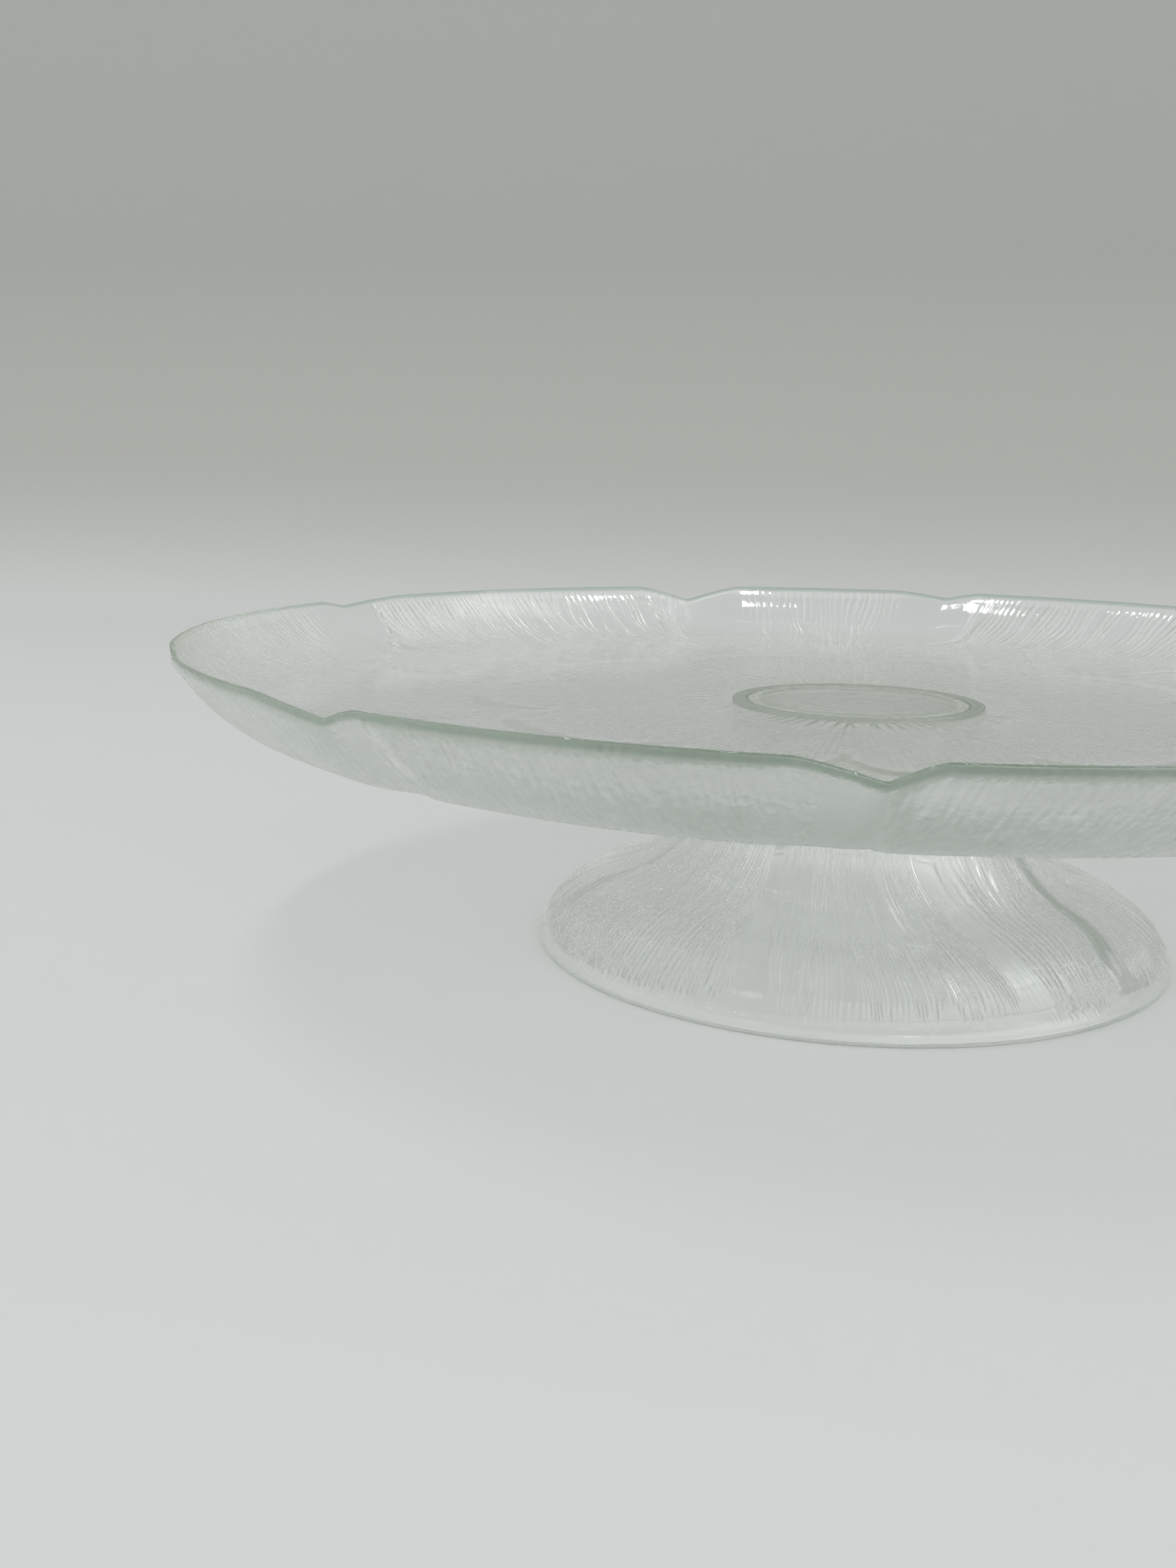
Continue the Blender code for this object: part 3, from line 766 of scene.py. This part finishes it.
def footInside(outside, turn):
    # round edge of the base, then the hollow up to the crown
    edge = foot["edgeRadius"]
    outerArc = arcPoints((footRadius - edge, edge), edge, 0, -90, foot["edgeSteps"])[1:]
    innerEdge = (footRadius - foot["baseWall"] + edge, edge)
    innerArc = arcPoints(innerEdge, edge, -90, -180, foot["edgeSteps"])[:-1]
    rings = [Ring(turn, radius, height, wave=0.0) for radius, height in np.concatenate((outerArc, innerArc))]
    for radius, height in footHollow(outside)[::-1]:
        rings.append(Ring(turn, radius, height, wave=waveAt(height)))
    for radius in foot["crownUnderRadii"]:
        rings.append(Ring(turn, radius, crownUnder))
    rings.append(Ring([0.0], 0.0, crownUnder))
    return rings


def makeFoot(tree, material):
    draw = np.random.default_rng(foot["seed"])
    outside = footOutside()
    turn = evenTurn(foot["hollowColumns"])
    rings = footSeat(turn) + footPetals(outside, draw) + footInside(outside, turn)
    piece = stitch("pressed_foot", rings)
    pressRibs(piece, tree, foot, material)
    print("foot:", len(piece.data.vertices), "points")
    return piece


bond = {
    "overlap": 0.00005,
    "inset": 0.0006,  # from both edges of the seat ring
    "columns": 160,
    "bulge": 0.00025,
    "bulgeSteps": 6,
}


def makeBond(material):
    # clear adhesive that fills the joint between the seat ring and the plate; its darker tint is painted
    # shade
    low, high = footTop - bond["overlap"], floorUnder + bond["overlap"]
    inner = foot["neckRadius"] - foot["seatWidth"] + bond["inset"]
    outer = foot["neckRadius"] - bond["inset"]
    turn = evenTurn(bond["columns"])
    rings = []
    for radius, side, start, end in ((outer, 1, high, low), (inner, -1, low, high)):
        for share in np.linspace(0, 1, bond["bulgeSteps"]):
            swell = bond["bulge"] * math.sin(math.pi * share)
            rings.append(Ring(turn, radius + side * swell, start + (end - start) * share))
    rings.append(rings[0])
    piece = stitch("bond_ring", rings)
    # the last ring is the first one again, so its faces move to the first one's points
    merged = piece.data
    mesh = bpy.data.meshes.new("bond_ring")
    last = len(merged.vertices) - bond["columns"]
    faces = [[v - last if v >= last else v for v in face.vertices] for face in merged.polygons]
    mesh.from_pydata([tuple(v.co) for v in merged.vertices[:last]], [], faces)
    mesh.shade_smooth()
    mesh.materials.append(material)
    piece.data = mesh
    return piece


# materials

glass = {
    "tint": (0.994, 1.0, 0.996, 1.0),
    "index": 1.50,
    "absorbColour": (0.770, 0.830, 0.762, 1.0),
    "absorbDensity": 3.0,
    "edgeTint": (0.46, 0.56, 0.48),  # painted shade: a darker greenish tint painted on the rim, the foot's fold and the seat ring, for where light runs along the glass
    "frostRoughness": 0.20,  # on the pressed outside of the wall
    "grain": 0.00012,  # height of its unevenness, metres
}
smears = {"detail": 3.0, "low": 0.35, "high": 0.75, "grainDetail": 2.0}
glassSkin = {"Smear Scale": 30.0, "Smoothest": 0.0, "Roughest": 0.03, "Grain Scale": 420.0}
# painted shade: the adhesive is tinted darker to shade the seat ring
adhesive = {"index": 1.49, "tint": (0.58, 0.66, 0.58, 1.0)}
bondSkin = {"Smear Scale": 200.0, "Smoothest": 0.05, "Roughest": 0.20, "Grain Scale": 1500.0}


def skinGroup():
    # faint smears and fine unevenness of pressed glass
    group = bpy.data.node_groups.new("pressedSkin", "ShaderNodeTree")
    for label in ("Smear Scale", "Smoothest", "Roughest", "Grain Scale"):
        group.interface.new_socket(label, in_out="INPUT", socket_type="NodeSocketFloat")
    for label in ("Roughness", "Height"):
        group.interface.new_socket(label, in_out="OUTPUT", socket_type="NodeSocketFloat")
    source = addNode(group, "NodeGroupInput").outputs
    target = addNode(group, "NodeGroupOutput")
    place = addNode(group, "ShaderNodeTexCoord").outputs["Object"]
    smear = addNode(group, "ShaderNodeTexNoise")
    smear.inputs["Detail"].default_value = smears["detail"]
    link(group, place, smear.inputs["Vector"])
    link(group, source["Smear Scale"], smear.inputs["Scale"])
    spread = addNode(group, "ShaderNodeMapRange")
    spread.inputs["From Min"].default_value = smears["low"]
    spread.inputs["From Max"].default_value = smears["high"]
    link(group, smear.outputs[0], spread.inputs["Value"])
    link(group, source["Smoothest"], spread.inputs["To Min"])
    link(group, source["Roughest"], spread.inputs["To Max"])
    grain = addNode(group, "ShaderNodeTexNoise")
    grain.inputs["Detail"].default_value = smears["grainDetail"]
    link(group, place, grain.inputs["Vector"])
    link(group, source["Grain Scale"], grain.inputs["Scale"])
    link(group, spread.outputs[0], target.inputs["Roughness"])
    link(group, grain.outputs[0], target.inputs["Height"])
    return group


def clearMaterial(name, group, skin, index, tint, bump, absorb=None, edgeTint=None):
    material = bpy.data.materials.new(name)
    material.use_nodes = True
    tree = material.node_tree
    shader = tree.nodes["Principled BSDF"]
    output = tree.nodes["Material Output"]
    shader.inputs["Base Color"].default_value = tint
    shader.inputs["Metallic"].default_value = 0.0
    shader.inputs["Transmission Weight"].default_value = 1.0
    shader.inputs["IOR"].default_value = index
    finish = addNode(tree, "ShaderNodeGroup", node_tree=group)
    for label, value in skin.items():
        finish.inputs[label].default_value = value
    frosted = addNode(tree, "ShaderNodeAttribute", attribute_name="frost")
    dull = calc(tree, "MULTIPLY", frosted.outputs["Fac"], glass["frostRoughness"])
    link(tree, calc(tree, "ADD", finish.outputs["Roughness"], dull), shader.inputs["Roughness"])
    uneven = addNode(tree, "ShaderNodeBump")
    uneven.inputs["Strength"].default_value = 1.0
    uneven.inputs["Distance"].default_value = bump
    height = calc(tree, "MULTIPLY", finish.outputs["Height"], frosted.outputs["Fac"])
    link(tree, height, uneven.inputs["Height"])
    link(tree, uneven.outputs[0], shader.inputs["Normal"])
    # painted shade: the edge attribute blends the base colour towards the painted shade tint
    if edgeTint:
        edge = addNode(tree, "ShaderNodeAttribute", attribute_name="edge")
        colour = blendColours(tree, tint[:3], edgeTint, edge.outputs["Fac"], 0.0, 1.0)
        link(tree, colour, shader.inputs["Base Color"])
    if absorb:
        body = addNode(tree, "ShaderNodeVolumeAbsorption")
        body.inputs["Color"].default_value = absorb
        body.inputs["Density"].default_value = glass["absorbDensity"]
        link(tree, body.outputs[0], output.inputs["Volume"])
    return material


# stage: floor and backdrop in one sweep of matt paper, the backdrop painted darker as painted shade
sweepPaper = {
    "front": -0.9,
    "bendStart": 0.70,  # where the floor starts to rise behind the plate
    "bendRadius": 0.30,
    "top": 1.9,
    "halfWidth": 2.6,
    "bendSteps": 24,
    "floorSteps": 11,
    "roughness": 0.9,
    "floorColour": (0.652, 0.670, 0.663),
    "wallColour": (0.455, 0.462, 0.436),
    "toneStart": 0.02,  # share of the bend where the painted shade starts to darken the paper
    "toneEnd": 0.62,
}


def makeSweep():
    bend = arcPoints((sweepPaper["bendStart"], sweepPaper["bendRadius"]), sweepPaper["bendRadius"],
                     -90, 0, sweepPaper["bendSteps"])
    steps = sweepPaper["floorSteps"]
    floorPlaces = np.linspace(sweepPaper["front"], sweepPaper["bendStart"], steps + 1)[:-1]
    floor = np.column_stack((floorPlaces, np.zeros(steps)))
    wallEnd = np.array([[bend[-1, 0], sweepPaper["top"]]])
    section = np.concatenate((floor, bend, wallEnd))
    bendShare = np.concatenate((np.zeros(steps), np.linspace(0, 1, len(bend)), [1.0]))
    side = sweepPaper["halfWidth"]
    points = [(x, y, z) for y, z in section for x in (-side, side)]
    faces = [(2 * i, 2 * i + 1, 2 * i + 3, 2 * i + 2) for i in range(len(section) - 1)]
    mesh = bpy.data.meshes.new("paper_sweep")
    mesh.from_pydata(points, [], faces)
    mesh.shade_smooth()
    layer = mesh.attributes.new("bendShare", "FLOAT", "POINT")
    layer.data.foreach_set("value", np.repeat(bendShare, 2).astype(np.float32))
    sweep = bpy.data.objects.new("paper_sweep", mesh)
    bpy.context.scene.collection.objects.link(sweep)
    material = bpy.data.materials.new("matt_paper")
    material.use_nodes = True
    tree = material.node_tree
    shader = tree.nodes["Principled BSDF"]
    shader.inputs["Roughness"].default_value = sweepPaper["roughness"]
    shader.inputs["Specular IOR Level"].default_value = 0.0
    share = addNode(tree, "ShaderNodeAttribute", attribute_name="bendShare")
    # painted shade: the paper goes darker from the floor's colour to the wall's along the bend
    paintedFalloff = blendColours(tree, sweepPaper["floorColour"], sweepPaper["wallColour"], share.outputs["Fac"],
                        sweepPaper["toneStart"], sweepPaper["toneEnd"])
    link(tree, paintedFalloff, shader.inputs["Base Color"])
    mesh.materials.append(material)


# small ceiling lamps, and two larger ones in front: x, y, size, power
lamps = {
    "height": 2.50,
    "ceiling": (
        (-1.07, 0.35, 0.12, 1.4), (-0.47, -0.02, 0.12, 1.2), (0.45, 0.04, 0.12, 1.2), (1.06, 0.35, 0.12, 1.8),
    ),
    "front": ((-1.24, -1.28, 0.40, 0.8), (0.90, -1.46, 0.40, 1.6)),
    # a tube that lights the paper alone and draws the plate's shadow, crisp at the left
    "tubePlace": (-0.60, -0.44, 2.50),
    "tubeWidth": 0.14,
    "tubeLength": 1.3,
    "tubePower": 5.0,
}


def addLamp(name, place, size, power):
    data = bpy.data.lights.new(name, "AREA")
    data.shape = "DISK"
    data.size = size
    data.energy = power
    lamp = bpy.data.objects.new(name, data)
    lamp.location = place
    lamp.rotation_mode = "QUATERNION"
    lamp.rotation_quaternion = (-Vector(place)).to_track_quat("-Z", "Y")
    bpy.context.scene.collection.objects.link(lamp)
    return lamp


def highlightOnly(lamp):
    # this lamp lights no paper, also not through the glass
    lamp.visible_diffuse = False
    lamp.data.use_nodes = True
    tree = lamp.data.node_tree
    matt = addNode(tree, "ShaderNodeLightPath").outputs["Diffuse Depth"]
    link(tree, calc(tree, "LESS_THAN", matt, 0.5), tree.nodes["Emission"].inputs["Strength"])


room = {
    "front": (0.75, 0.76, 0.75),  # low behind the camera
    "frontFull": -0.9,  # y on the unit sphere
    "frontFrom": -0.1,
    "horizon": (0.80, 0.81, 0.80),
    "overhead": (1.06, 1.06, 1.06),
    # as the glass reflects it: a bright side to the right, a dull ceiling between the lamps
    "leftMirrored": (1.00, 1.01, 1.00),
    "rightMirrored": (2.80, 2.82, 2.77),
    "ceilingMirrored": (0.35, 0.36, 0.35),
    "sideSpan": 0.5,  # from left to right, x on the unit sphere
    "sidesFrom": 0.30,  # height on the unit sphere
    "sidesFull": 0.60,
    "ceilingFrom": 0.75,
    "ceilingFull": 0.92,
    "overheadFull": 0.60,
    "pastPaper": (0.50, 0.51, 0.49),  # where the camera looks past the paper
    "bounces": 48,  # light runs far inside the rim before it comes out
}


def makeLight():
    for row in ("ceiling", "front"):
        for number, (x, y, size, power) in enumerate(lamps[row]):
            highlightOnly(addLamp(f"{row}_lamp_{number}", (x, y, lamps["height"]), size, power))
    tube = addLamp("paper_lamp", lamps["tubePlace"], lamps["tubeWidth"], lamps["tubePower"])
    tube.data.shape = "RECTANGLE"
    tube.data.size_y = lamps["tubeLength"]
    tube.rotation_quaternion = (1, 0, 0, 0)  # straight down, along Y
    tube.visible_glossy = False
    tube.visible_transmission = False
    world = bpy.data.worlds.new("room")
    world.use_nodes = True
    tree = world.node_tree
    toward = addNode(tree, "ShaderNodeSeparateXYZ")
    link(tree, addNode(tree, "ShaderNodeTexCoord").outputs["Generated"], toward.inputs[0])
    low = blendColours(tree, room["front"], room["horizon"], toward.outputs["Y"], room["frontFull"],
                       room["frontFrom"])
    lit = blendColours(tree, low, room["overhead"], toward.outputs["Z"], 0.0, room["overheadFull"])
    sides = blendColours(tree, room["leftMirrored"], room["rightMirrored"], toward.outputs["X"],
                         -room["sideSpan"], room["sideSpan"])
    high = blendColours(tree, sides, room["ceilingMirrored"], toward.outputs["Z"], room["ceilingFrom"],
                        room["ceilingFull"])
    seen = blendColours(tree, low, high, toward.outputs["Z"], room["sidesFrom"], room["sidesFull"])
    path = addNode(tree, "ShaderNodeLightPath").outputs
    direct = calc(tree, "LESS_THAN", path["Diffuse Depth"], 0.5)  # not on its way to the paper
    mirrored = calc(tree, "MULTIPLY", path["Is Glossy Ray"], direct)
    whole = blendColours(tree, lit, seen, mirrored, 0.0, 1.0)
    whole = blendColours(tree, whole, room["pastPaper"], path["Is Camera Ray"], 0.0, 1.0)
    link(tree, whole, tree.nodes["Background"].inputs["Color"])
    scene = bpy.context.scene
    scene.world = world
    for limit in ("max_bounces", "transmission_bounces", "glossy_bounces"):
        setattr(scene.cycles, limit, room["bounces"])
    scene.cycles.blur_glossy = 0.0  # glass stays clear for light on its way to the paper


# camera, solved from the outlines of the rim and of the base
view = {
    "place": (0.0, -0.38299, 0.11638),  # metres
    "yaw": 10.015,  # degrees, anticlockwise from +Y
    "pitch": -11.66,
    "roll": 0.993,
    "focalPixels": 2000.0,
    "imageHeight": 2048.0,
    "sensor": 36.0,  # mm along the long side
    "nearClip": 0.01,
}


def makeCamera():
    data = bpy.data.cameras.new("photo_camera")
    data.sensor_width = view["sensor"]
    data.lens = view["focalPixels"] / view["imageHeight"] * view["sensor"]
    data.clip_start = view["nearClip"]
    eye = bpy.data.objects.new("photo_camera", data)
    turn = Matrix.Rotation(math.radians(view["yaw"]), 4, "Z")
    turn = turn @ Matrix.Rotation(math.radians(90 + view["pitch"]), 4, "X")
    turn = turn @ Matrix.Rotation(math.radians(view["roll"]), 4, "Z")
    eye.matrix_world = Matrix.Translation(view["place"]) @ turn
    bpy.context.scene.collection.objects.link(eye)
    bpy.context.scene.camera = eye


makeCamera()
makeSweep()
makeLight()
print("camera, paper and light are set")

skin = skinGroup()
look = (glass["index"], glass["tint"], glass["grain"], glass["absorbColour"], glass["edgeTint"])
plateGlass = clearMaterial("plate_glass", skin, glassSkin, *look)
footGlass = clearMaterial("foot_glass", skin, glassSkin, *look)
clearBond = clearMaterial("clear_adhesive", skin, bondSkin, adhesive["index"], adhesive["tint"], 0.0)

ribs = ribTree()
pieces = (
    (makePlate(ribs, plateGlass), "plate", "plate_glass"),
    (makeFoot(ribs, footGlass), "pedestal_foot", "foot_glass"),
    (makeBond(clearBond), "adhesive_ring", "clear_adhesive"),
)
for piece, node, slot in pieces:
    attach(piece, "root")
    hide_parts(node)
print("pieces ride on the plate's one body")

bpy.context.scene.view_settings.view_transform = "Standard"
